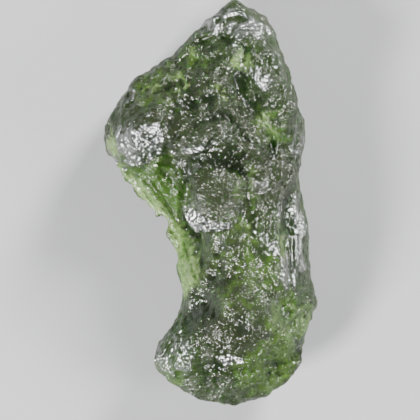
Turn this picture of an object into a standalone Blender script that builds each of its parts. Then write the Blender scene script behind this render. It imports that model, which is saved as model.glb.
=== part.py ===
"""A moldavite: one piece of bottle-green natural glass, etched by the ground that held it.

The stone lies on its back with its long axis along Y and its show side up. The origin is on the
surface it rests on, below the middle of its box. Sizes here are millimetres, and MM turns them
into metres. The form is a sphere of square faces that is drawn out to the stone's outline, given
its lobes, ledges and grooves, roughened all over, and cut flat where it touches the surface.
"""

import math

import bmesh
import bpy
from mathutils import Vector, noise

MM = 0.001

# Driving sizes
LENGTH = 30.4
DIVISIONS_ACROSS = 21  # squares across each face of the starting sphere
DIVISIONS_ALONG = 42  # squares along it, between the two end faces
END_SHARE = 0.62  # the share of half the length where the end faces begin
BASE_SMOOTHING = 4  # rounds that even out the squares before the relief goes on
BASE_EASING = 0.5  # how far each of those rounds goes
RELIEF_SMOOTHING = 0.5  # how far the relief's steepest steps are eased

# Outline of the show side as (y, x), from the foot to the peak
LEFT_EDGE = [
    (-15.0, 1.5), (-14.9, 0.7), (-14.6, -0.7), (-14.0, -2.3), (-13.3, -3.5), (-12.3, -4.3),
    (-11.3, -4.2), (-10.2, -3.4), (-9.3, -2.5), (-8.1, -2.1), (-5.0, -2.4), (-3.8, -2.3),
    (-2.6, -3.1), (-0.9, -3.8), (1.0, -5.5), (2.7, -6.8), (4.5, -7.9), (5.5, -8.0),
    (6.5, -7.7), (8.0, -6.5), (9.2, -6.1), (9.9, -5.0), (10.9, -2.4), (11.3, -1.8),
    (12.2, -1.9), (12.8, -1.4), (13.6, -0.5), (14.5, 0.3), (14.9, 1.1), (15.0, 1.7),
]
RIGHT_EDGE = [
    (-15.0, 1.5), (-14.9, 2.7), (-14.6, 3.9), (-14.1, 5.0), (-13.4, 5.9), (-12.5, 6.7),
    (-11.4, 6.9), (-8.7, 7.2), (-7.1, 7.7), (-6.2, 7.4), (-2.1, 7.4), (0.0, 6.8),
    (1.5, 6.5), (2.6, 6.8), (4.2, 6.8), (6.1, 6.6), (8.5, 6.1), (10.4, 5.2),
    (11.8, 4.9), (13.1, 4.8), (14.0, 4.2), (14.5, 3.6), (14.9, 2.4), (15.0, 1.7),
]

# Heights as (y, height): of the rim above the surface, and of the glass above and below it
LEFT_RIM = [(-15.0, 3.8), (-11.0, 3.6), (-6.0, 3.2), (-2.0, 2.7), (2.0, 2.7), (6.0, 3.4), (15.0, 4.4)]
RIGHT_RIM = [(-15.0, 3.8), (-9.0, 4.3), (-3.0, 3.7), (4.0, 4.3), (10.0, 4.7), (15.0, 4.4)]
RIM_WANDER = 0.7  # how far noise moves the rim up and down
RIM_WANDER_SIZE = 4.0  # how wide that noise is
FRONT = [
    (-15.0, 3.0), (-11.0, 3.4), (-7.0, 4.3), (-2.0, 4.5), (4.0, 4.4), (8.0, 4.0), (12.0, 3.2), (15.0, 2.6),
]
BACK = [(-15.0, 2.6), (-10.0, 3.2), (-3.0, 3.1), (5.0, 3.4), (10.0, 3.3), (15.0, 2.6)]

# How sharply the glass thins towards each rim as (y, power): 0.8 is blunt and 2.6 a thin flange
LEFT_THINNING = [
    (-15.0, 0.9), (-9.0, 0.8), (-4.5, 1.3), (-1.0, 2.5), (2.0, 2.6), (4.5, 1.3), (9.0, 0.8), (15.0, 0.75),
]
RIGHT_THINNING = [(-15.0, 1.1), (-12.5, 1.4), (-8.0, 1.0), (-3.0, 0.8), (6.0, 0.7), (15.0, 0.75)]
BACK_FLATNESS = 0.85  # the back thins by this share of those powers, so it is flatter than the front
END_ROUNDING = 6.0  # the power that rounds the foot and the peak: higher is blunter
NO_WIDTH = 1e-9  # below this the starting sphere is at a pole

# The relief fades out towards the rim and the two ends, over these shares of the way in
RIM_FADE = 0.55
END_FADE = 0.5

# Lobes and scoops of the show side: centre, radii across and along, turn in degrees, height
FRONT_LOBES = {
    "knob": ((0.3, 0.7), (2.9, 3.9), 8, 0.75),
    "shoulder": ((-5.4, 5.6), (3.0, 2.6), 20, 0.85),
    "right_flank": ((5.2, 6.4), (2.3, 4.2), -5, 0.5),
    "belly": ((2.2, -8.0), (3.2, 3.4), 0, 0.45),
    "foot_lobe": ((-2.3, -11.0), (2.6, 2.6), 0, 0.75),
    "peak_swell": ((3.0, 12.2), (2.0, 2.2), 0, 0.4),
    "pale_scoop": ((2.4, 10.6), (1.1, 1.6), -25, -0.6),
    "green_scoop": ((-2.8, 9.2), (1.7, 1.3), 15, -0.7),
    "left_scoop": ((-4.7, 8.4), (1.3, 1.1), -20, -0.4),
    "rim_scoop": ((-6.3, 8.4), (1.1, 1.0), 0, -0.45),
    "neck_scoop": ((-1.3, 10.9), (1.6, 1.2), 30, -0.45),
    "upper_dish": ((-0.8, 7.4), (2.1, 1.9), 0, -0.6),
    "middle_dish": ((1.9, 6.1), (1.6, 2.0), -15, -0.45),
    "under_ledge": ((1.0, 3.2), (2.4, 1.2), -10, -0.45),
    "right_hollow": ((5.8, -8.4), (1.9, 2.4), 0, -0.5),
    "foot_facet": ((4.6, -12.7), (3.4, 2.8), 35, -0.9),
    "waist_hollow": ((-0.6, -7.0), (2.2, 2.8), 10, -0.35),
}

# Grooves (negative) and ridges of the show side: half width, height, path. Each fades over this
# share of its path at both ends, and keeps this share of its height there.
CREASE_FADE = 0.2
CREASE_END = 0.35
FRONT_CREASES = {
    "neck_valley": (1.8, -1.2, [
        (-3.1, 4.2), (-2.7, 2.4), (-2.6, 0.4), (-2.3, -1.2), (-1.9, -2.6), (-1.5, -3.9),
    ]),
    "diagonal_groove": (1.0, -0.6, [
        (1.9, 3.6), (2.4, 2.3), (2.8, 0.8), (2.7, -0.7), (3.1, -2.0), (3.7, -3.4), (4.1, -5.0), (4.4, -6.3),
    ]),
    "streak_groove": (0.8, -0.5, [(2.2, 8.6), (3.1, 7.3), (3.8, 6.1), (4.4, 4.9), (4.9, 3.6)]),
    "hair_ridge": (0.5, 0.22, [(0.7, 8.7), (1.2, 8.0), (1.6, 7.2)]),
    "peak_ridge": (0.8, 0.35, [
        (-1.0, 12.8), (-0.2, 12.7), (0.9, 13.3), (2.2, 12.9), (3.4, 12.0), (4.3, 11.3),
    ]),
    "scoop_ridge": (0.7, 0.4, [(1.6, 11.2), (2.8, 10.1), (3.6, 9.1), (4.3, 8.6), (5.2, 8.5)]),
    "waist_ridge": (0.7, 0.35, [(-1.9, -2.3), (-1.5, -3.7), (-1.1, -5.2), (-0.6, -6.3)]),
    "foot_groove": (1.0, -0.4, [(-0.3, -8.9), (-0.4, -10.8), (-0.1, -12.7), (0.3, -14.2)]),
    "foot_line": (0.45, 0.22, [(4.9, -8.9), (5.5, -10.4), (5.8, -11.6)]),
    "flank_furrow": (0.6, -0.3, [(6.2, 0.3), (6.1, -1.8), (6.3, -4.0), (6.6, -5.6)]),
}

# Ledges of the show side: rise, width of the step, reach, path. The left hand of the path is high.
# The skin dips below each, by a share of its rise and over a share of its reach.
LEDGE_FADE = 0.18
LEDGE_DIP = 0.25
LEDGE_DIP_REACH = 0.5
FRONT_LEDGES = {
    "upper_edge": (1.0, 1.1, 3.4, [
        (-6.6, 3.3), (-5.3, 3.6), (-4.4, 4.2), (-3.6, 4.3), (-2.7, 4.0), (-1.7, 4.0),
        (-0.8, 4.3), (0.1, 4.7), (1.1, 4.6), (2.1, 4.1), (3.0, 3.5), (3.9, 2.6),
    ]),
    "knob_rim": (0.7, 1.1, 2.6, [
        (0.0, 3.2), (-0.9, 2.5), (-1.5, 1.6), (-1.9, 0.6), (-2.0, -0.5),
        (-1.6, -1.2), (-0.9, -1.7), (0.1, -1.9), (1.3, -1.8), (2.4, -1.4),
    ]),
    "flank_edge": (0.65, 0.9, 2.4, [
        (5.9, -7.1), (5.5, -5.2), (5.2, -3.3), (5.1, -1.5), (5.3, 0.4), (5.9, 1.8), (6.6, 3.0),
    ]),
    "neck_edge": (0.4, 0.8, 1.4, [(-6.2, 2.8), (-5.3, 1.8), (-4.4, 0.6), (-3.6, -0.5), (-3.0, -1.7)]),
    "belly_edge": (0.5, 0.8, 2.0, [(0.7, -10.0), (1.6, -10.8), (2.7, -10.8), (3.6, -10.0)]),
}

# The back: the three lobes that it rests on, the hollows between them and two long furrows.
# Heights there are outwards too, so a lobe comes down and a hollow goes up.
BACK_LOBES = {
    "shoulder_rest": ((-3.4, 6.4), (4.0, 3.8), 0, 1.1),
    "flank_rest": ((3.9, 4.2), (3.6, 4.8), 0, 1.45),
    "foot_rest": ((2.2, -9.6), (4.8, 4.0), 0, 1.3),
    "waist_hollow": ((2.4, -3.0), (4.0, 4.2), 0, -0.8),
    "neck_hollow": ((-2.8, 0.2), (2.8, 3.8), -35, -0.9),
    "peak_hollow": ((1.6, 10.8), (2.4, 3.0), 0, -0.7),
    "right_hollow": ((5.9, -7.0), (2.0, 2.8), 0, -0.6),
    "foot_hollow": ((-1.8, -9.6), (2.2, 3.0), 0, -0.5),
}
BACK_CREASES = {
    "long_furrow": (1.3, -0.8, [(1.8, 12.6), (0.8, 8.8), (0.1, 5.4), (0.5, 2.0), (1.2, -1.4), (0.2, -5.0)]),
    "side_furrow": (1.0, -0.5, [(5.6, 9.0), (5.4, 1.0), (4.9, -2.5), (5.0, -6.0)]),
    "shoulder_furrow": (0.9, -0.5, [(-6.8, 8.4), (-6.2, 4.6), (-4.4, 2.0), (-3.0, -1.6)]),
}

# Roughness all over: noise as (size, height), and etched cups that meet in sharp rims, as
# (size, depth). The cups are drawn out along the stone, and deepest towards the peak.
LUMPS = [(3.6, 0.30), (1.7, 0.12)]
CUPS = [(2.6, 0.85), (1.4, 0.55)]
CUP_LENGTHENING = 1.3
CUP_BRIM = 0.8  # where the skin between cups is level, in squared shares of a cup's size
CUP_SUNK = 0.3  # how much of the same the cups go below the skin
CUP_STRENGTH = [(-15.0, 0.9), (-9.0, 0.8), (-3.0, 0.65), (2.0, 0.7), (6.0, 1.0), (15.0, 1.1)]
PATCH_SIZE = 5.0  # of the patches where the cups are shallower
PATCH_EDGE = 0.3  # how soft the patches' edges are
PATCH_STRENGTH = 0.4  # the share of the cups' depth that is left in them
WARP_SIZE = 2.6
WARP = 0.32  # how far noise pushes the lobes and lines off their plain shapes
NOISE_PLACE = Vector((7.3, 2.1, 4.6))  # where in the endless noise this stone is cut from
NOISE_APART = Vector((53.0, 0.0, 0.0))  # from there to the noise for a second, unlike push
ROUGHNESS_APART = 10.0  # the roughness is cut from this many times further out

CUT_MERGE = 1e-4  # points this close to the resting surface count as on it

GLASS_COLOUR = (0.16, 0.26, 0.07, 1.0)
GLASS_IOR = 1.49
GLASS_ROUGHNESS = 0.12


def clear_scene():
    for obj in list(bpy.data.objects):
        bpy.data.objects.remove(obj, do_unlink=True)


def smoothstep(low, high, value):
    share = min(max((value - low) / (high - low), 0.0), 1.0)
    return share * share * (3.0 - 2.0 * share)


def through(points, y):
    """Reads, at y, the smooth line through (y, value) points that rise in y."""
    if y <= points[0][0]:
        return points[0][1]
    if y >= points[-1][0]:
        return points[-1][1]
    last = len(points) - 1
    i = next(k for k in range(last) if points[k + 1][0] >= y)
    (y0, v0), (y1, v1) = points[i], points[i + 1]
    before, after = points[max(i - 1, 0)], points[min(i + 2, last)]
    step = y1 - y0
    slope0 = (v1 - before[1]) / (y1 - before[0])
    slope1 = (after[1] - v0) / (after[0] - y0)
    t = (y - y0) / step
    return (
        v0 * (1 + 2 * t) * (1 - t) ** 2
        + slope0 * step * t * (1 - t) ** 2
        + v1 * t * t * (3 - 2 * t)
        - slope1 * step * t * t * (1 - t)
    )


def path_distance(path, x, y):
    """(distance from the path, positive on its left hand, and the share of the path passed)."""
    best = (1e9, 0.0, 0.0)
    for i in range(len(path) - 1):
        (ax, ay), (bx, by) = path[i], path[i + 1]
        dx, dy = bx - ax, by - ay
        t = min(max(((x - ax) * dx + (y - ay) * dy) / (dx * dx + dy * dy), 0.0), 1.0)
        away_x, away_y = x - ax - t * dx, y - ay - t * dy
        distance = math.hypot(away_x, away_y)
        if distance < best[0]:
            side = 1.0 if dx * away_y - dy * away_x >= 0 else -1.0
            best = (distance, side, (i + t) / (len(path) - 1))
    return best[0] * best[1], best[2]


def lobe_height(lobe, x, y):
    (centre_x, centre_y), (across, along), turn, height = lobe
    c, s = math.cos(math.radians(turn)), math.sin(math.radians(turn))
    dx, dy = x - centre_x, y - centre_y
    reach = ((dx * c + dy * s) / across) ** 2 + ((dy * c - dx * s) / along) ** 2
    return height * max(0.0, 1.0 - reach) ** 2


def crease_height(crease, x, y):
    half_width, height, path = crease
    distance, passed = path_distance(path, x, y)
    ends = smoothstep(0.0, CREASE_FADE, passed) * smoothstep(1.0, 1.0 - CREASE_FADE, passed)
    rounded = max(0.0, 1.0 - (distance / half_width) ** 2) ** 2
    return height * rounded * (CREASE_END + (1.0 - CREASE_END) * ends)


def ledge_height(ledge, x, y):
    rise, step_width, reach, path = ledge
    distance, passed = path_distance(path, x, y)
    ends = smoothstep(0.0, LEDGE_FADE, passed) * smoothstep(1.0, 1.0 - LEDGE_FADE, passed)
    step = smoothstep(-step_width / 2, step_width / 2, distance)
    fall = max(0.0, 1.0 - max(distance, 0.0) / reach)
    dip = LEDGE_DIP
    if distance < 0:
        dip *= max(0.0, 1.0 + distance / (LEDGE_DIP_REACH * reach))
    return rise * ends * (step * fall - (1.0 - step) * dip * max(0.0, 1.0 - abs(distance) / reach))


def relief(lobes, creases, ledges, x, y):
    return (
        sum(lobe_height(lobe, x, y) for lobe in lobes.values())
        + sum(crease_height(crease, x, y) for crease in creases.values())
        + sum(ledge_height(ledge, x, y) for ledge in ledges.values())
    )


def warped(x, y):
    """The point (x, y) pushed aside by slow noise, so that no lobe or line keeps a drawn shape."""
    place = Vector((x, y, 0.0)) / WARP_SIZE + NOISE_PLACE
    return x + WARP * noise.noise(place), y + WARP * noise.noise(place + NOISE_APART)


def spread(height):
    """Moves the rings of the starting sphere along it, so that its squares stay near square."""
    corner = math.sqrt(0.5)
    if abs(height) <= corner:
        return height / corner * END_SHARE
    return math.copysign(END_SHARE + (1 - END_SHARE) * (abs(height) - corner) / (1 - corner), height)


def base_point(direction):
    """Where a point of the unit sphere goes on the stone before its relief, and how much relief it gets."""
    ring = math.hypot(direction.x, direction.z)
    side, up = (direction.x / ring, direction.z / ring) if ring > NO_WIDTH else (0.0, 0.0)
    y = LENGTH / 2 * spread(direction.y)
    left, right = through(LEFT_EDGE, y), through(RIGHT_EDGE, y)
    x = (left + right) / 2 + (right - left) / 2 * side
    across = (side + 1.0) / 2
    end = max(0.0, 1.0 - abs(direction.y) ** END_ROUNDING) ** 0.5
    rim = through(LEFT_RIM, y) * (1 - across) + through(RIGHT_RIM, y) * across
    rim += RIM_WANDER * noise.noise(Vector((x, y, 0.0)) / RIM_WANDER_SIZE + NOISE_PLACE)
    thinning = through(LEFT_THINNING, y) * (1 - across) + through(RIGHT_THINNING, y) * across
    if up >= 0:
        z = rim + through(FRONT, y) * up**thinning * end
    else:
        z = rim - through(BACK, y) * abs(up) ** (thinning * BACK_FLATNESS) * end
    share = smoothstep(0.0, RIM_FADE, abs(up)) * smoothstep(0.0, END_FADE, end)
    return Vector((x, y, z)), math.copysign(share, up)


def relief_at(point, share):
    """How far the lobes, grooves and ledges stand out: those of the show side where share is positive."""
    x, y = warped(point.x, point.y)
    if share >= 0:
        return share * relief(FRONT_LOBES, FRONT_CREASES, FRONT_LEDGES, x, y)
    return -share * relief(BACK_LOBES, BACK_CREASES, {}, x, y)


def roughness_at(point):
    """How far the surface stands out at a point: slow and quick noise, and cups etched into it."""
    place = point + NOISE_PLACE * ROUGHNESS_APART
    height = sum(size * noise.noise(place / scale) for scale, size in LUMPS)
    patch = smoothstep(-PATCH_EDGE, PATCH_EDGE, noise.noise(place / PATCH_SIZE))
    strength = through(CUP_STRENGTH, point.y) * (PATCH_STRENGTH + (1.0 - PATCH_STRENGTH) * patch)
    for size, depth in CUPS:
        stretched = Vector((place.x, place.y / CUP_LENGTHENING, place.z)) / size
        nearest = noise.voronoi(stretched)[0][0]
        # A cup is a bowl about its middle, so where two meet they leave a sharp rim.
        height += strength * depth * (min(nearest * nearest, CUP_BRIM) - CUP_SUNK)
    return height


def glass_material():
    material = bpy.data.materials.new("moldavite_glass")
    material.use_nodes = True
    shader = material.node_tree.nodes["Principled BSDF"]
    shader.inputs["Base Color"].default_value = GLASS_COLOUR
    shader.inputs["Roughness"].default_value = GLASS_ROUGHNESS
    shader.inputs["Metallic"].default_value = 0.0
    shader.inputs["IOR"].default_value = GLASS_IOR
    shader.inputs["Transmission Weight"].default_value = 1.0
    return material


def square_faced_sphere(mesh):
    """A box of squares, more of them along Y than across, bulged to the unit sphere."""
    bmesh.ops.create_cube(mesh, size=2.0)
    along = [edge for edge in mesh.edges if abs(edge.verts[0].co.y - edge.verts[1].co.y) > 1.0]
    across = [edge for edge in mesh.edges if edge not in along]
    bmesh.ops.subdivide_edges(mesh, edges=across, cuts=DIVISIONS_ACROSS - 1, use_grid_fill=True)
    rows = [edge for edge in mesh.edges if abs(edge.verts[0].co.y - edge.verts[1].co.y) > 1.0]
    bmesh.ops.subdivide_edges(mesh, edges=rows, cuts=DIVISIONS_ALONG - 1, use_grid_fill=True)
    for vertex in mesh.verts:
        # The tangent spreads the squares evenly over the sphere.
        vertex.co = Vector([math.tan(value * math.pi / 4) for value in vertex.co]).normalized()


def ease(mesh, factor):
    """Moves every point this share of the way to the middle of its neighbours."""
    bmesh.ops.smooth_vert(
        mesh, verts=mesh.verts[:], factor=factor, use_axis_x=True, use_axis_y=True, use_axis_z=True
    )


def cut_rests_flat(mesh):
    """Cuts off what comes below the surface that the stone lies on, and closes each cut."""
    geometry = mesh.verts[:] + mesh.edges[:] + mesh.faces[:]
    bmesh.ops.bisect_plane(
        mesh, geom=geometry, dist=CUT_MERGE, plane_co=(0, 0, 0), plane_no=(0, 0, -1), clear_outer=True
    )
    open_edges = [edge for edge in mesh.edges if edge.is_boundary]
    bmesh.ops.holes_fill(mesh, edges=open_edges, sides=0)


def centre_on_origin(mesh):
    """Puts the middle of the stone's box above the origin, and leaves its height as it is."""
    for axis in (0, 1):
        values = [vertex.co[axis] for vertex in mesh.verts]
        middle = (min(values) + max(values)) / 2
        for vertex in mesh.verts:
            vertex.co[axis] -= middle


def build_moldavite():
    mesh = bmesh.new()
    square_faced_sphere(mesh)
    shares = {}
    for vertex in mesh.verts:
        vertex.co, shares[vertex] = base_point(vertex.co)
    for _ in range(BASE_SMOOTHING):
        ease(mesh, BASE_EASING)
    mesh.normal_update()
    for vertex in mesh.verts:
        height = relief_at(vertex.co, shares[vertex]) + roughness_at(vertex.co)
        vertex.co += vertex.normal * height
    ease(mesh, RELIEF_SMOOTHING)
    bmesh.ops.recalc_face_normals(mesh, faces=mesh.faces[:])
    cut_rests_flat(mesh)
    centre_on_origin(mesh)
    bmesh.ops.triangulate(mesh, faces=mesh.faces[:])
    bmesh.ops.scale(mesh, vec=(MM, MM, MM), verts=mesh.verts[:])
    data = bpy.data.meshes.new("moldavite")
    mesh.to_mesh(data)
    mesh.free()
    data.shade_smooth()
    stone = bpy.data.objects.new("moldavite", data)
    stone.data.materials.append(glass_material())
    bpy.context.scene.collection.objects.link(stone)
    return stone


clear_scene()
build_moldavite()
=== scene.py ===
import math

import bmesh
import bpy
import numpy as np
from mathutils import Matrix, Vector, noise


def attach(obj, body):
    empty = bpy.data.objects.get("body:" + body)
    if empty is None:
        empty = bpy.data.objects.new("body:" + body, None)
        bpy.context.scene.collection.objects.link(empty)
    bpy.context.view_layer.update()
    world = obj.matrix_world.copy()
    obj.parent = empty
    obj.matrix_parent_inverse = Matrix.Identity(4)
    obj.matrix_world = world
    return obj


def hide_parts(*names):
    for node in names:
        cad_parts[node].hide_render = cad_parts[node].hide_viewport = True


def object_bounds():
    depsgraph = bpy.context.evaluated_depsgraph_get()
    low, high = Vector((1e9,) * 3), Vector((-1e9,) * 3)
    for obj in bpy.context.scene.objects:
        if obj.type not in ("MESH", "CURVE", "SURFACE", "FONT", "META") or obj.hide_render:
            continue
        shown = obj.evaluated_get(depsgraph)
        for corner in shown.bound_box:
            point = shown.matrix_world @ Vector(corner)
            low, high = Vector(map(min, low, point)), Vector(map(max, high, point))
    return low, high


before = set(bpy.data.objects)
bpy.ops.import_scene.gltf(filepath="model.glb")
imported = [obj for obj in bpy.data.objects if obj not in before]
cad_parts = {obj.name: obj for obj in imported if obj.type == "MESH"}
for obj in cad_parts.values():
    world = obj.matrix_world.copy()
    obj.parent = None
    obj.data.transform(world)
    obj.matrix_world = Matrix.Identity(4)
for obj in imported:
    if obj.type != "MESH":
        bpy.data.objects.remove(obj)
cad_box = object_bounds()

# The stone: one lump of natural glass, about 30 mm long, that lies on its back on three small flat
# spots. It cooled in flight, and the ground then etched its skin into lips, cups, pits and fine
# lines. It is bottle green in the mass, so its thin edges glow lime and its thick middle is dark.
MM = 0.001
MERGE = 0.0001 * MM  # points that are closer than this are one
PAIRED_BELOW = math.radians(60)  # triangles that turn less than this become a four-sided face
SKIN_SQUARE = 0.119 * MM  # the side of the small squares that the skin is made of

# A copy of the solid, its loose triangles joined up and paired
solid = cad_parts["moldavite"]
joined = bmesh.new()
joined.from_mesh(solid.data)
bmesh.ops.remove_doubles(joined, verts=joined.verts[:], dist=MERGE)
bmesh.ops.join_triangles(
    joined, faces=joined.faces[:], angle_face_threshold=PAIRED_BELOW, angle_shape_threshold=PAIRED_BELOW
)
stone_mesh = bpy.data.meshes.new("stone")
joined.to_mesh(stone_mesh)
joined.free()
stone = bpy.data.objects.new("stone", stone_mesh)
bpy.context.scene.collection.objects.link(stone)

# Rounded off, and given small even squares, fine enough to carry the etching
rounding = stone.modifiers.new("rounding", "SUBSURF")
rounding.levels = rounding.render_levels = 1
even_skin = stone.modifiers.new("even_skin", "REMESH")
even_skin.mode = "VOXEL"
even_skin.voxel_size = SKIN_SQUARE


def made_plain(piece):
    """Gives the piece the mesh that its modifiers make, and takes the modifiers off."""
    graph = bpy.context.evaluated_depsgraph_get()
    result = bpy.data.meshes.new_from_object(piece.evaluated_get(graph))
    piece.modifiers.clear()
    piece.data = result


def skin_points():
    """Every point of the stone's skin, in millimetres, and which way it faces."""
    places = np.empty(len(stone.data.vertices) * 3)
    stone.data.vertices.foreach_get("co", places)
    ways = np.empty(len(places))
    stone.data.vertex_normals.foreach_get("vector", ways)
    return places.reshape(-1, 3) / MM, ways.reshape(-1, 3)


def move_skin(places):
    """Puts every point of the stone's skin at its new place, given in millimetres."""
    stone.data.vertices.foreach_set("co", (places * MM).ravel())


made_plain(stone)
points, facing = skin_points()


def rise(low, high, value):
    """0 below low, 1 above high, and a smooth step between. It falls where high is below low."""
    share = np.clip((value - low) / (high - low), 0.0, 1.0)
    return share * share * (3.0 - 2.0 * share)


def dome(reach):
    """A rounded swelling: 1 in its middle, and 0 from where reach is 1."""
    return np.clip(1.0 - reach**2, 0.0, 1.0) ** 2


def beside(path):
    """Each point's distance from a path over the show side, positive on the path's left hand,
    and the share of the path passed."""
    nearest = np.full(len(points), np.inf)
    side = np.ones(len(points))
    passed = np.zeros(len(points))
    for leg, ((start_x, start_y), (end_x, end_y)) in enumerate(zip(path, path[1:])):
        run_x, run_y = end_x - start_x, end_y - start_y
        from_x, from_y = points[:, 0] - start_x, points[:, 1] - start_y
        share = np.clip((from_x * run_x + from_y * run_y) / (run_x * run_x + run_y * run_y), 0.0, 1.0)
        away_x, away_y = from_x - share * run_x, from_y - share * run_y
        distance = np.hypot(away_x, away_y)
        closer = distance < nearest
        nearest = np.where(closer, distance, nearest)
        side = np.where(closer, np.where(run_x * away_y - run_y * away_x >= 0, 1.0, -1.0), side)
        passed = np.where(closer, (leg + share) / (len(path) - 1), passed)
    return nearest * side, passed


def ends_faded(passed, fade):
    """1 along a path, and a smooth fall to 0 over this share of it at each end."""
    return rise(0.0, fade, passed) * rise(1.0, 1.0 - fade, passed)


# The show side is the skin that faces up: 0 at the first upward share, and 1 from the second
SHOW_SIDE_FROM, SHOW_SIDE_FULL = -0.05, 0.3
on_show_side = rise(SHOW_SIDE_FROM, SHOW_SIDE_FULL, facing[:, 2])
lift = np.zeros(len(points))

# Lips where one etched hollow undercuts the next: (height, path), and the left hand is high
LIP_SHARP = 0.28  # the width of the step itself
LIP_SOFT = 1.5  # the width in which the skin rises to it and falls away again
LIP_FADE = 0.12  # the share of the path in which it fades out at each end
LIPS = {
    "upper_edge": (0.85, [
        (-6.7, 3.2), (-6.0, 2.8), (-5.1, 2.9), (-4.4, 3.3), (-3.6, 3.7), (-2.8, 3.5), (-1.9, 3.4),
        (-1.0, 3.6), (-0.3, 4.2), (0.1, 4.8), (0.6, 5.0), (1.1, 4.7), (1.6, 4.3), (2.4, 4.0), (3.1, 3.6),
        (3.6, 3.0),
    ]),
    "knob_rim": (0.75, [
        (-0.3, 3.0), (-1.1, 2.3), (-1.7, 1.4), (-1.9, 0.4), (-1.9, -0.8), (-1.6, -1.5), (-1.0, -2.0),
        (-0.4, -2.2), (0.4, -2.1),
    ]),
    "flank_edge": (0.25, [
        (5.4, -6.5), (5.1, -5.2), (5.0, -2.9), (5.1, -0.9), (5.2, -0.1), (5.7, 1.1), (6.5, 2.2),
    ]),
    "neck_edge": (0.15, [
        (-6.7, 2.7), (-5.3, 1.4), (-4.0, -0.1), (-3.3, -1.1), (-2.5, -2.4), (-2.1, -3.6),
    ]),
    "bump_rim": (0.45, [
        (0.4, -11.2), (0.7, -11.7), (1.0, -12.0), (1.6, -12.2), (2.4, -12.1), (2.9, -11.7),
    ]),
    "notch_left": (0.4, [(-3.9, 3.6), (-2.7, 4.85), (-1.1, 6.1), (0.1, 6.5), (1.0, 6.8)]),
    "notch_right": (0.35, [(1.0, 6.8), (1.6, 6.0), (2.4, 5.2), (3.2, 4.5), (4.0, 3.9)]),
    "peak_edge": (0.3, [(-1.6, 11.7), (-0.6, 12.3), (0.6, 12.5), (1.8, 12.2), (2.9, 11.3), (3.9, 10.4)]),
    "scoop_edge": (0.25, [(1.0, 11.2), (1.9, 10.0), (3.0, 9.2), (4.2, 8.9), (5.4, 8.6)]),
}
for lip_height, path in LIPS.values():
    distance, passed = beside(path)
    step = rise(-LIP_SHARP / 2, LIP_SHARP / 2, distance) - rise(-LIP_SOFT / 2, LIP_SOFT / 2, distance)
    lift += lip_height * ends_faded(passed, LIP_FADE) * step

# Hair lines that stand up, and fine grooves that sink: (half width, height, path)
HAIR_FADE = 0.2
HAIRS = {
    "curved_hair": (0.16, 0.16, [(0.5, 8.5), (1.0, 8.2), (1.4, 7.6), (1.6, 7.0)]),
    "short_hair": (0.14, 0.12, [(-3.3, 8.5), (-2.5, 8.1), (-1.7, 7.8)]),
    "left_streak": (0.16, 0.14, [(3.2, 6.6), (3.8, 5.7), (4.3, 4.7)]),
    "right_streak": (0.18, 0.16, [(3.6, 6.7), (4.2, 5.8), (4.8, 4.7)]),
    "foot_hair": (0.14, 0.12, [(5.9, -11.0), (6.2, -11.7), (6.4, -12.4)]),
    "neck_hair": (0.15, 0.12, [(-5.8, 2.4), (-4.9, 1.4), (-4.0, 0.5), (-3.2, -0.6), (-2.7, -1.6)]),
    "neck_line": (0.15, -0.12, [(-5.4, 2.6), (-4.5, 1.7), (-3.6, 0.6), (-2.9, -0.6), (-2.4, -1.8)]),
    "waist_line": (0.16, -0.12, [(-2.1, -2.6), (-1.7, -4.0), (-1.2, -5.4), (-0.6, -6.6)]),
}
for half_width, hair_height, path in HAIRS.values():
    distance, passed = beside(path)
    lift += hair_height * ends_faded(passed, HAIR_FADE) * dome(distance / half_width)

# A low swell fills the head of the groove between the belly and the foot
SWELL_X, SWELL_Y = 0.1, -9.8
SWELL_RADIUS = 2.4
SWELL_HEIGHT = 0.35
lift += SWELL_HEIGHT * dome(np.hypot(points[:, 0] - SWELL_X, points[:, 1] - SWELL_Y) / SWELL_RADIUS)

points += facing * (lift * on_show_side)[:, None]
move_skin(points)

# The zones of the skin fray at their edges: (size, push) of each noise that pushes them about.
# The pushes across and along the stone are taken from two places in the noise, so they are unlike.
FRAYING = [(1.9, 0.8), (0.7, 0.5), (0.3, 0.25)]
FRAYED_ACROSS, FRAYED_ALONG = 11.0, 47.0


def pushed(noise_place):
    """How far the noise pushes each point of the skin, in millimetres."""
    start = Vector((noise_place, 0.0, 0.0))
    push = np.zeros(len(points))
    for size, reach in FRAYING:
        push += [reach * noise.noise(Vector(point) / size + start) for point in points]
    return push


frayed_x = points[:, 0] + pushed(FRAYED_ACROSS)
frayed_y = points[:, 1] + pushed(FRAYED_ALONG)

# A patch is 0 outside the first share of its radii, squared, and at full strength inside the second
PATCH_FROM, PATCH_FULL = 1.15, 0.35


def patched(patches):
    """A mask over the show side, made of frayed ellipses that add up: (middle, radii, turn in
    degrees, strength)."""
    left_over = np.ones(len(points))
    for (middle_x, middle_y), (across, along), turn, strength in patches.values():
        cosine, sine = math.cos(math.radians(turn)), math.sin(math.radians(turn))
        from_x, from_y = frayed_x - middle_x, frayed_y - middle_y
        reach = ((from_x * cosine + from_y * sine) / across) ** 2
        reach = reach + ((from_y * cosine - from_x * sine) / along) ** 2
        left_over *= 1.0 - strength * rise(PATCH_FROM, PATCH_FULL, reach)
    return (1.0 - left_over) * on_show_side


def keep(name, values):
    """Stores one number for each point of the skin, for the etching and the glass to read."""
    stone.data.attributes.new(name, "FLOAT", "POINT").data.foreach_set("value", values)


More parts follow.
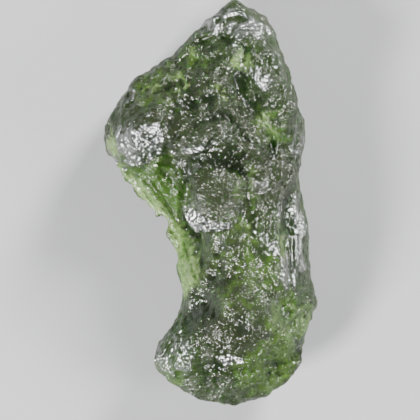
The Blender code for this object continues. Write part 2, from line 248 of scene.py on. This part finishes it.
# Where the etching is dense enough to look white
FROST = {
    "shoulder": ((-5.4, 4.3), (2.6, 1.7), 15, 0.9),
    "knob_corner": ((-1.0, -1.3), (1.5, 1.1), -35, 1.0),
    "knob_side": ((-1.6, 0.6), (0.6, 1.8), 0, 0.6),
    "knob_foot": ((0.3, -1.6), (1.2, 0.5), 0, 0.7),
    "ledge_spot": ((-1.4, 4.0), (0.8, 0.6), 0, 1.0),
    "ledge_band": ((0.5, 4.9), (4.2, 1.0), 0, 0.25),
    "peak": ((1.4, 13.2), (3.2, 1.6), -20, 0.75),
    "peak_side": ((4.4, 11.6), (1.0, 1.8), 20, 0.2),
    "upper_right": ((5.0, 8.0), (1.6, 3.0), 10, 0.15),
    "rim_right": ((6.4, 4.6), (0.7, 3.0), 0, 0.6),
    "right_spot": ((3.7, 1.0), (0.55, 0.55), 0, 1.0),
    "lower_spot": ((4.0, -2.8), (0.7, 1.2), 20, 0.9),
    "flank": ((5.9, -2.6), (1.2, 4.4), 0, 0.8),
    "foot_lobe": ((-2.2, -11.2), (2.4, 2.4), 0, 0.5),
    "bump_rim": ((1.8, -11.9), (1.3, 0.5), 0, 0.9),
    "bump_top": ((2.9, -9.0), (0.9, 0.6), 0, 0.7),
    "scoop_edge": ((3.2, 9.4), (1.7, 0.7), -25, 0.8),
    "left_rim": ((-6.0, 8.0), (1.2, 1.0), 30, 0.5),
}
# Where the edge is thin, its colour is painted lime: a painted glow that stands in for light
# shining through the thin glass. On the pale scoop the lime is a painted reflection.
THIN_EDGES_PAINTED_LIME = {
    "neck_rim": ((-5.3, 0.2), (1.1, 4.6), 40, 1.0),
    "left_band": ((-7.6, 4.0), (0.7, 1.8), -10, 0.95),
    "waist_rim": ((-2.2, -4.0), (1.2, 3.8), 8, 1.0),
    "pale_scoop": ((2.4, 10.3), (0.8, 1.3), 35, 0.95),
    "green_scoop": ((-2.4, 8.9), (0.8, 0.9), 20, 0.85),
    "streaks": ((4.1, 5.6), (0.4, 1.8), 35, 0.8),
    "upper_scoop": ((-4.4, 8.3), (0.6, 0.7), 0, 0.7),
    "notch": ((-1.3, 11.5), (0.5, 0.8), -30, 0.7),
    "hair": ((1.0, 7.8), (0.2, 0.9), 36, 0.8),
    "groove": ((3.0, -1.4), (0.3, 2.2), 13, 0.6),
    "right_foot": ((5.6, -8.6), (1.5, 2.0), 0, 0.45),
    "right_corner": ((7.2, -8.3), (0.6, 1.4), -15, 0.55),
    "flank_band": ((5.2, -3.3), (0.6, 2.9), 3, 0.8),
}
# Where the glass is thin, a lighter green is painted on: a painted glow that stands in for light
# shining through it. An even share of that green is also on the back.
THIN_GLASS_PAINTED_GREEN = {
    "valley": ((-3.0, 1.3), (1.6, 3.2), 20, 1.0),
    "neck": ((-4.6, 0.4), (1.5, 5.0), 40, 0.8),
    "waist": ((-2.0, -4.4), (1.2, 3.4), 8, 0.8),
    "foot_facet": ((4.3, -12.2), (3.2, 2.0), 30, 0.8),
    "upper_left": ((-4.0, 8.4), (2.6, 1.8), 30, 0.5),
    "notch": ((-1.6, 10.6), (1.6, 1.4), 30, 0.6),
    "groove": ((2.6, 0.2), (1.0, 3.4), 5, 0.5),
    "lower_groove": ((3.6, -4.0), (0.9, 3.2), 20, 0.5),
    "right_foot": ((5.6, -8.6), (1.8, 2.4), 0, 0.7),
    "left_foot": ((-3.0, -12.6), (2.2, 1.4), 35, 0.6),
    "streaks": ((4.1, 5.6), (1.0, 2.2), 35, 0.6),
    "body": ((1.5, -4.8), (4.0, 4.4), 10, 0.4),
}
BACK_GREEN = 0.45
# Painted shade: where the glass is thick, in the hollows and grooves and under the ledge, the
# skin is painted nearly black
PAINTED_SHADE_ZONES = {
    "under_ledge": ((0.6, 3.4), (2.2, 0.9), 0, 0.25),
    "knob_groove": ((-2.3, 1.0), (0.35, 3.2), 0, 1.0),
    "ledge_hollow": ((0.3, 5.6), (1.6, 1.0), 0, 0.8),
    "peak_hollow": ((2.8, 11.6), (1.1, 0.9), 0, 0.8),
    "right_hollow": ((4.9, 6.8), (1.2, 2.2), 0, 0.6),
    "upper_middle": ((-1.2, 7.2), (2.0, 1.4), 0, 0.6),
    "belly": ((1.0, -8.2), (3.2, 4.0), 0, 0.9),
    "foot_low": ((0.9, -13.4), (2.4, 1.4), 0, 0.6),
    "knob": ((0.2, 0.6), (2.3, 3.2), 0, 0.5),
    "ledge": ((0.9, 5.1), (3.4, 1.2), 0, 0.4),
    "middle": ((0.6, -4.0), (2.0, 2.2), 0, 0.15),
}
clear = patched(THIN_EDGES_PAINTED_LIME)
keep("frost", patched(FROST))
keep("clear", clear)
keep("green", patched(THIN_GLASS_PAINTED_GREEN) + BACK_GREEN * (1.0 - on_show_side))
keep("deep", patched(PAINTED_SHADE_ZONES))

# Where the skin is smoother, so that its cups are shallow
SMOOTH = {
    "knob": ((0.4, 0.4), (2.4, 3.0), 0, 0.85),
    "flank": ((6.0, -2.6), (1.6, 5.2), 0, 0.85),
    "neck": ((-4.4, 0.6), (1.8, 5.0), 40, 0.8),
    "body": ((1.6, -7.0), (5.0, 5.5), 0, 0.6),
    "belly": ((1.9, -7.4), (1.9, 3.2), 0, 0.6),
}
CUPS_ON_SIDES = 0.6  # the share of their depth that cups keep on upright sides
CUPS_FULL = 0.6  # how much the skin faces up or down where they are full
CLEAR_EASES = 0.8  # the share of their depth that they lose on the clear edges
cupped = (1.0 - patched(SMOOTH)) * (
    CUPS_ON_SIDES + (1.0 - CUPS_ON_SIDES) * rise(0.0, CUPS_FULL, np.abs(facing[:, 2]))
)
keep("cupped", cupped * (1.0 - CLEAR_EASES * clear))

# Where fine lines run along the grain. It turns with the neck, and is straight along the flank.
LINED = {
    "flank": ((5.9, -2.6), (1.6, 5.4), 0, 1.0),
    "neck": ((-4.2, 0.4), (1.9, 5.2), 38, 1.0),
    "streaks": ((4.1, 5.6), (1.0, 2.2), 35, 0.7),
}
NECK_GRAIN_TURN = math.radians(38.0)
FLANK_FROM = 5.0
keep("lined", patched(LINED))
turn = np.where(points[:, 0] < FLANK_FROM, NECK_GRAIN_TURN, 0.0)
across_grain = points[:, 0] * np.cos(turn) + points[:, 1] * np.sin(turn)
along_grain = points[:, 1] * np.cos(turn) - points[:, 0] * np.sin(turn)
grain = np.stack([across_grain, along_grain, points[:, 2]], axis=1) * MM
stone.data.attributes.new("grain", "FLOAT_VECTOR", "POINT").data.foreach_set("vector", grain.ravel())


def add(tree, kind, inputs=(), **settings):
    """Adds a node, sets it up, and gives its inputs, by name or number, their values or links."""
    made = tree.nodes.new(kind)
    for setting, value in settings.items():
        setattr(made, setting, value)
    for key, value in dict(inputs).items():
        if isinstance(value, bpy.types.NodeSocket):
            tree.links.new(value, made.inputs[key])
        else:
            made.inputs[key].default_value = value
    return made


def worked_out(tree, operation, *values):
    """One step of arithmetic on numbers."""
    return add(tree, "ShaderNodeMath", enumerate(values), operation=operation).outputs[0]


def times(tree, first, second):
    """Two numbers multiplied."""
    return worked_out(tree, "MULTIPLY", first, second)


def vector_worked_out(tree, operation, *values):
    """One step of arithmetic on vectors. A scale's number goes in the node's last input."""
    keys = (0, "Scale") if operation == "SCALE" else range(len(values))
    return add(tree, "ShaderNodeVectorMath", zip(keys, values), operation=operation).outputs[0]


# The etching, cut into the skin along its normals: cups, the pits inside them, and fine lines.
# All of it wanders a little, and the flat spots that the stone lies on are left flat.
ETCHING_SIZES = {
    "Cup Size": 1.3 * MM,
    "Cup Depth": 0.60 * MM,
    "Pit Size": 0.55 * MM,
    "Pit Depth": 0.32 * MM,
    "Least Pits": 0.25,  # the share of their depth that pits keep where the skin is smooth
    "Rim Cut": 0.7,  # where the rims of cups and pits are cut off, as a share of their depth
    "Skin Level": 0.3,  # where the uncut skin lies, as a share of the same depth
    "Line Size": 0.32 * MM,
    "Line Length": 4.0 * MM,
    "Line Depth": 0.2 * MM,
    "Line Height Share": 0.3,  # how much a height counts, next to a width, in where lines lie
    "Wander": 0.5 * MM,
    "Wander Scale": 0.6 / MM,
    "Flat Below": 0.5 * MM,
    "Flat Share": 0.2,  # nothing at all is cut below this share of that height
    "Seed": 3.0,
}
NOISE_MIDDLE = 0.5
NOISE_DETAIL = 2.0
etching = bpy.data.node_groups.new("etched_skin", "GeometryNodeTree")
etching.interface.new_socket("Skin", in_out="INPUT", socket_type="NodeSocketGeometry")
for size_name in ETCHING_SIZES:
    etching.interface.new_socket(size_name, in_out="INPUT", socket_type="NodeSocketFloat")
etching.interface.new_socket("Glass", in_out="INPUT", socket_type="NodeSocketMaterial")
etching.interface.new_socket("Skin", in_out="OUTPUT", socket_type="NodeSocketGeometry")
given = etching.nodes.new("NodeGroupInput").outputs
skin_place = etching.nodes.new("GeometryNodeInputPosition").outputs[0]
skin_normal = etching.nodes.new("GeometryNodeInputNormal").outputs[0]

wander_noise = add(
    etching, "ShaderNodeTexNoise",
    {"Vector": skin_place, "W": given["Seed"], "Scale": given["Wander Scale"], "Detail": NOISE_DETAIL},
    noise_dimensions="4D",
).outputs["Color"]
wander = vector_worked_out(etching, "SUBTRACT", wander_noise, (NOISE_MIDDLE,) * 3)
wander = vector_worked_out(etching, "SCALE", wander, given["Wander"])
wandered = vector_worked_out(etching, "ADD", skin_place, wander)


def etching_reads(name, kind="FLOAT"):
    """What is kept under this name for each point of the skin, read by the etching."""
    return add(etching, "GeometryNodeInputNamedAttribute", {"Name": name}, data_type=kind).outputs[0]


def hollows(size, depth):
    """Bowls of this size and depth that meet in sharp rims."""
    scale = worked_out(etching, "DIVIDE", 1.0, size)
    cells = add(
        etching, "ShaderNodeTexVoronoi",
        {"Vector": wandered, "W": given["Seed"], "Scale": scale, "Randomness": 1.0},
        voronoi_dimensions="4D",
    )
    bowl = times(etching, cells.outputs["Distance"], cells.outputs["Distance"])
    cut_bowl = worked_out(etching, "MINIMUM", bowl, given["Rim Cut"])
    return times(etching, worked_out(etching, "SUBTRACT", cut_bowl, given["Skin Level"]), depth)


cup_lift = times(etching, hollows(given["Cup Size"], given["Cup Depth"]), etching_reads("cupped"))
more_pits = worked_out(etching, "SUBTRACT", 1.0, given["Least Pits"])
pit_share = worked_out(etching, "MULTIPLY_ADD", etching_reads("cupped"), more_pits, given["Least Pits"])
pit_lift = times(etching, hollows(given["Pit Size"], given["Pit Depth"]), pit_share)

line_scale = add(etching, "ShaderNodeCombineXYZ", {
    "X": worked_out(etching, "DIVIDE", 1.0, given["Line Size"]),
    "Y": worked_out(etching, "DIVIDE", 1.0, given["Line Length"]),
    "Z": worked_out(etching, "DIVIDE", given["Line Height Share"], given["Line Size"]),
}).outputs[0]
line_place = vector_worked_out(etching, "MULTIPLY", etching_reads("grain", "FLOAT_VECTOR"), line_scale)
lines = add(
    etching, "ShaderNodeTexNoise",
    {"Vector": line_place, "W": given["Seed"], "Scale": 1.0, "Detail": NOISE_DETAIL},
    noise_dimensions="4D",
).outputs["Fac"]
line_lift = times(etching, worked_out(etching, "SUBTRACT", lines, NOISE_MIDDLE), given["Line Depth"])
line_lift = times(etching, line_lift, etching_reads("lined"))

off_the_flats = add(
    etching, "ShaderNodeMapRange",
    {
        "Value": add(etching, "ShaderNodeSeparateXYZ", {0: skin_place}).outputs["Z"],
        "From Min": times(etching, given["Flat Below"], given["Flat Share"]),
        "From Max": given["Flat Below"],
    },
    interpolation_type="SMOOTHSTEP",
).outputs[0]
etched = worked_out(etching, "ADD", worked_out(etching, "ADD", cup_lift, pit_lift), line_lift)
etched = vector_worked_out(etching, "SCALE", skin_normal, times(etching, etched, off_the_flats))
moved = add(etching, "GeometryNodeSetPosition", {"Geometry": given["Skin"], "Offset": etched}).outputs[0]
real = add(etching, "GeometryNodeRealizeInstances", {"Geometry": moved}).outputs[0]
glazed = add(etching, "GeometryNodeSetMaterial", {"Geometry": real, "Material": given["Glass"]})
add(etching, "NodeGroupOutput", {"Skin": glazed.outputs[0]})

# The glass: clear in itself, with a green dye in its mass, and a skin that colours what is seen
# through it. That skin colour also holds painted glow on thin parts and painted shade on thick
# glass and in hollows. The dense etching of the frost is a bright coat.
GLASS_IOR = 1.49
GLOSS = 0.045
SEEN_THROUGH = 0.82
DYE_COLOUR = (0.42, 0.80, 0.10, 1.0)
DYE_DENSITY = 480.0
DARK_SKIN = (0.080, 0.103, 0.048, 1.0)
# Painted shade: the colour of the thick glass and the hollows
PAINTED_SHADE = (0.050, 0.066, 0.036, 1.0)
# Painted glow: a lighter green that stands in for light shining through thin glass
PAINTED_GLOW_GREEN = (0.17, 0.31, 0.055, 1.0)
# Painted glow: lime that stands in for light through the thinnest edges, and a painted reflection on the
# pale scoop
PAINTED_LIME_GLOW = (0.70, 1.0, 0.36, 1.0)
FROST_SKIN = (0.070, 0.078, 0.070, 1.0)
FROST_IOR = 3.1
FROST_ROUGHNESS = 0.11

glass = bpy.data.materials.new("moldavite_glass_skin")
glass.use_nodes = True
finish = glass.node_tree
shader = finish.nodes["Principled BSDF"]
shader.inputs["IOR"].default_value = GLASS_IOR
shader.inputs["Metallic"].default_value = 0.0
shader.inputs["Specular IOR Level"].default_value = GLOSS
shader.inputs["Transmission Weight"].default_value = SEEN_THROUGH
shader.inputs["Coat Roughness"].default_value = FROST_ROUGHNESS
shader.inputs["Coat IOR"].default_value = FROST_IOR
dye = add(finish, "ShaderNodeVolumeAbsorption", {"Color": DYE_COLOUR, "Density": DYE_DENSITY})
finish.links.new(dye.outputs["Volume"], finish.nodes["Material Output"].inputs["Volume"])
glass_place = add(finish, "ShaderNodeTexCoord").outputs["Object"]


def glass_reads(name):
    """A number kept for each point of the skin, read by the glass."""
    return add(finish, "ShaderNodeAttribute", attribute_name=name).outputs["Fac"]


def swayed(start, sways):
    """A number raised or lowered by a share of each of these kept numbers."""
    for name, sway in sways.items():
        start = worked_out(finish, "MULTIPLY_ADD", glass_reads(name), sway, start)
    return start


def speckle(size, detail, place=glass_place):
    """Soft noise of this size in the glass, from 0 to 1."""
    inputs = {"Vector": place, "Scale": 1.0 / size, "Detail": detail}
    return add(finish, "ShaderNodeTexNoise", inputs).outputs["Fac"]


def round_bowls(size):
    """Round bowls of this size in the glass, that meet in sharp rims."""
    cells = add(finish, "ShaderNodeTexVoronoi", {"Vector": glass_place, "Scale": 1.0 / size})
    return times(finish, cells.outputs["Distance"], cells.outputs["Distance"])


# Fine etching: bowls that each hold a bright reflection, deeper where the frost is, smaller ones
# between them, a crinkle over them all, and streaks along the grain
BOWL_SIZE = 0.33 * MM
BOWL_DEPTH = 0.095 * MM
BOWLS_LEAST = 0.35
BOWLS_DEEPER = {"frost": 1.1}
SMALL_BOWL = 0.13 * MM
SMALL_BOWL_DEPTH = 0.028 * MM
CRINKLE_SIZE = 0.155 * MM
CRINKLE_DEPTH = 0.075 * MM
CRINKLE_DETAIL = 0.6
STREAK_SIZE = 0.15 * MM
STREAK_LENGTH = 2.2 * MM
STREAK_DEPTH = 0.09 * MM
STREAK_DETAIL = 1.0
# It is steeper on the ridges and in the cups, and flatter on the clear edges and in the deep glass
STEEPER = {"ridge": 0.35, "clear": -0.45}
STEEPER_IN_CUPS = 0.15
FLATTER_IN_DEEP = 0.05

glass_grain = add(finish, "ShaderNodeAttribute", attribute_name="grain").outputs["Vector"]
streak_scale = (1.0 / STREAK_SIZE, 1.0 / STREAK_LENGTH, 1.0 / STREAK_SIZE)
streak_place = vector_worked_out(finish, "MULTIPLY", glass_grain, streak_scale)
streak_depth = times(finish, glass_reads("lined"), STREAK_DEPTH)
streaks = times(finish, speckle(1.0, STREAK_DETAIL, streak_place), streak_depth)
bowl_depth = times(finish, swayed(BOWLS_LEAST, BOWLS_DEEPER), BOWL_DEPTH)
fine_height = times(finish, round_bowls(BOWL_SIZE), bowl_depth)
fine_height = worked_out(finish, "MULTIPLY_ADD", round_bowls(SMALL_BOWL), SMALL_BOWL_DEPTH, fine_height)
crinkle = speckle(CRINKLE_SIZE, CRINKLE_DETAIL)
fine_height = worked_out(finish, "MULTIPLY_ADD", crinkle, CRINKLE_DEPTH, fine_height)
fine_height = worked_out(finish, "ADD", fine_height, streaks)
tilt = swayed(1.0, STEEPER)
tilt = times(finish, tilt, swayed(1.0 - STEEPER_IN_CUPS, {"cupped": STEEPER_IN_CUPS}))
tilt = times(finish, tilt, swayed(1.0, {"deep": -FLATTER_IN_DEEP}))
fine_height = times(finish, fine_height, tilt)
facets = add(finish, "ShaderNodeBump", {"Strength": 1.0, "Distance": 1.0, "Height": fine_height})
finish.links.new(facets.outputs["Normal"], shader.inputs["Normal"])
finish.links.new(facets.outputs["Normal"], shader.inputs["Coat Normal"])

# Each finish breaks into flecks: (size, place in the noise, none below, all above). Frost is also
# bright along the ridges, and the painted shade keeps off ridges, bulges and the parts painted
# with green glow.
FLECKS = {
    "frost": (0.32 * MM, 7.0 * MM, 0.45, 1.2),
    "dark": (0.8 * MM, 13.0 * MM, 0.1, 0.9),
    "green": (0.6 * MM, 19.0 * MM, 0.1, 1.0),
    "lime": (0.26 * MM, 23.0 * MM, 0.25, 1.4),
}
FLECK_DETAIL = 3.0
FROST_SWAYS = {"ridge": 0.35, "deep": -0.3}
# Painted shade: lighter on ridges and bulges, darker in hollows
SHADE_SWAYS = {"ridge": -0.5, "bulge": -0.6}
# The painted green glow takes away this share of the painted shade
GLOW_CUTS_SHADE = 0.45


def flecked(share, kind):
    """A share broken into flecks of this kind."""
    size, noise_place, low, high = FLECKS[kind]
    place = vector_worked_out(finish, "ADD", glass_place, (noise_place, 0.0, 0.0))
    # From -1 to 1, so that the flecks take as much from the share as they give
    flecks = worked_out(finish, "MULTIPLY_ADD", speckle(size, FLECK_DETAIL, place), 2.0, -1.0)
    total = worked_out(finish, "ADD", share, flecks)
    return add(
        finish, "ShaderNodeMapRange", {"Value": total, "From Min": low, "From Max": high},
        interpolation_type="SMOOTHSTEP",
    ).outputs[0]


def blend(share, first, second):
    """The first colour where share is 0, and the second where it is 1."""
    factor, colour_a, colour_b, colour_out = 0, 6, 7, 2
    return add(
        finish, "ShaderNodeMix", {factor: share, colour_a: first, colour_b: second},
        data_type="RGBA", clamp_factor=True,
    ).outputs[colour_out]


frost_share = flecked(swayed(glass_reads("frost"), FROST_SWAYS), "frost")
# Painted shade on the thick glass and in the hollows
painted_shade_share = flecked(swayed(glass_reads("deep"), SHADE_SWAYS), "dark")
painted_shade_share = times(finish, painted_shade_share, swayed(1.0, {"green": -GLOW_CUTS_SHADE}))
# Painted glow: a lighter green where the glass is thin
skin_colour = blend(flecked(glass_reads("green"), "green"), DARK_SKIN, PAINTED_GLOW_GREEN)
# Painted glow and painted reflection: lime on the thin edges and on the pale scoop
skin_colour = blend(flecked(glass_reads("clear"), "lime"), skin_colour, PAINTED_LIME_GLOW)
skin_colour = blend(painted_shade_share, skin_colour, PAINTED_SHADE)
skin_colour = blend(frost_share, skin_colour, FROST_SKIN)
finish.links.new(skin_colour, shader.inputs["Base Color"])
finish.links.new(frost_share, shader.inputs["Coat Weight"])

# The polish is uneven, from one broad patch to the next
POLISH_SIZE = MM / 0.7
POLISH_DETAIL = 2.0
ROUGHNESS_RANGE = {"From Min": 0.35, "From Max": 0.65, "To Min": 0.13, "To Max": 0.27}
polish = speckle(POLISH_SIZE, POLISH_DETAIL)
roughness = add(finish, "ShaderNodeMapRange", {"Value": polish, **ROUGHNESS_RANGE}).outputs[0]
finish.links.new(roughness, shader.inputs["Roughness"])

etched_skin = stone.modifiers.new("etched_skin", "NODES")
etched_skin.node_group = etching
for socket in etching.interface.items_tree:
    if socket.name in ETCHING_SIZES:
        etched_skin[socket.identifier] = ETCHING_SIZES[socket.name]
    elif socket.name == "Glass":
        etched_skin[socket.identifier] = glass
made_plain(stone)
stone.data.shade_smooth()

# The highest points are eased down, so that none stands much above the top of the solid, and none
# goes below the floor. Easing starts this far below the top, and ends this far above its start.
TOP_EASED = 0.3
TOP_ROOM = 0.5
points, facing = skin_points()
solid_top = cad_box[1][2] / MM
above_start = points[:, 2] - (solid_top - TOP_EASED)
above_start = np.where(above_start > 0.0, TOP_ROOM * np.tanh(above_start / TOP_ROOM), above_start)
points[:, 2] = np.maximum(above_start + solid_top - TOP_EASED, 0.0)
move_skin(points)

# Ridges and hollows, fine and broad: how far each point stands out from the skin around it, as a
# share of a height, from -1 to 1. Each is (rounds of easing, height in millimetres).
STANDING_OUT = {"ridge": (60, 0.09), "bulge": (320, 0.35)}
edge_ends = np.empty(len(stone.data.edges) * 2, dtype=int)
stone.data.edges.foreach_get("vertices", edge_ends)
one_end, other_end = edge_ends.reshape(-1, 2).T
neighbours = np.bincount(one_end, minlength=len(points)) + np.bincount(other_end, minlength=len(points))
eased = points.copy()
rounds_done = 0
for name, (rounds, full_height) in STANDING_OUT.items():
    for _ in range(rounds - rounds_done):
        for axis in range(3):
            values = eased[:, axis]
            sums = np.bincount(one_end, values[other_end], len(points))
            sums = sums + np.bincount(other_end, values[one_end], len(points))
            eased[:, axis] = sums / neighbours
    rounds_done = rounds
    keep(name, np.clip(((points - eased) * facing).sum(axis=1) / full_height, -1.0, 1.0))

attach(stone, "root")
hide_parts("moldavite")

# The studio: a plain pale board under the stone, a hair below it so that the two never touch.
# White light comes softly from all round, and three square lamps stand to the left, at the top and
# to the right: (place, power).
FLOOR_HALF = 0.3
FLOOR_DROP = 0.00003
FLOOR_COLOUR = (0.33, 0.33, 0.335, 1.0)
FLOOR_ROUGHNESS = 0.8
WHITE = (1.0, 1.0, 1.0, 1.0)
SOFT_LIGHT = 0.12
LAMP_SIDE = 0.065
LAMPS = {
    "left_lamp": ((-0.16, -0.13, 0.14), 2.20),
    "top_lamp": ((0.13, 0.17, 0.13), 1.90),
    "right_lamp": ((0.22, -0.06, 0.12), 0.60),
}
CORNERS = ((-1, -1), (1, -1), (1, 1), (-1, 1))
floor_mesh = bpy.data.meshes.new("floor")
floor_mesh.from_pydata(
    [(x * FLOOR_HALF, y * FLOOR_HALF, -FLOOR_DROP) for x, y in CORNERS], [], [range(len(CORNERS))]
)
floor = bpy.data.objects.new("floor", floor_mesh)
bpy.context.scene.collection.objects.link(floor)
floor_paint = bpy.data.materials.new("pale_floor")
floor_paint.use_nodes = True
floor_shader = floor_paint.node_tree.nodes["Principled BSDF"]
floor_shader.inputs["Base Color"].default_value = FLOOR_COLOUR
floor_shader.inputs["Roughness"].default_value = FLOOR_ROUGHNESS
floor_mesh.materials.append(floor_paint)

studio = bpy.data.worlds.new("studio")
studio.use_nodes = True
studio.node_tree.nodes["Background"].inputs["Color"].default_value = WHITE
studio.node_tree.nodes["Background"].inputs["Strength"].default_value = SOFT_LIGHT
bpy.context.scene.world = studio

for lamp_name, (lamp_place, power) in LAMPS.items():
    lamp_data = bpy.data.lights.new(lamp_name, "AREA")
    lamp_data.shape = "SQUARE"
    lamp_data.size = LAMP_SIDE
    lamp_data.energy = power
    lamp = bpy.data.objects.new(lamp_name, lamp_data)
    lamp.location = lamp_place
    lamp.rotation_euler = Vector(lamp_place).to_track_quat("Z", "Y").to_euler()
    bpy.context.scene.collection.objects.link(lamp)

# The camera: it looks straight down on the show side, as the photograph does, from far enough
# away that the stone is hardly foreshortened. Its picture is this wide at the height of the rim.
FRAME_WIDTH = 0.0314
FRAME_X, FRAME_Y = -0.00007, -0.00054
RIM_HEIGHT = 0.0038
CAMERA_ABOVE_RIM = 0.24
SENSOR_WIDTH = 36.0
camera_data = bpy.data.cameras.new("camera")
camera_data.sensor_width = SENSOR_WIDTH
camera_data.lens = SENSOR_WIDTH * CAMERA_ABOVE_RIM / FRAME_WIDTH
camera = bpy.data.objects.new("camera", camera_data)
camera.location = (FRAME_X, FRAME_Y, RIM_HEIGHT + CAMERA_ABOVE_RIM)
bpy.context.scene.collection.objects.link(camera)
bpy.context.scene.camera = camera
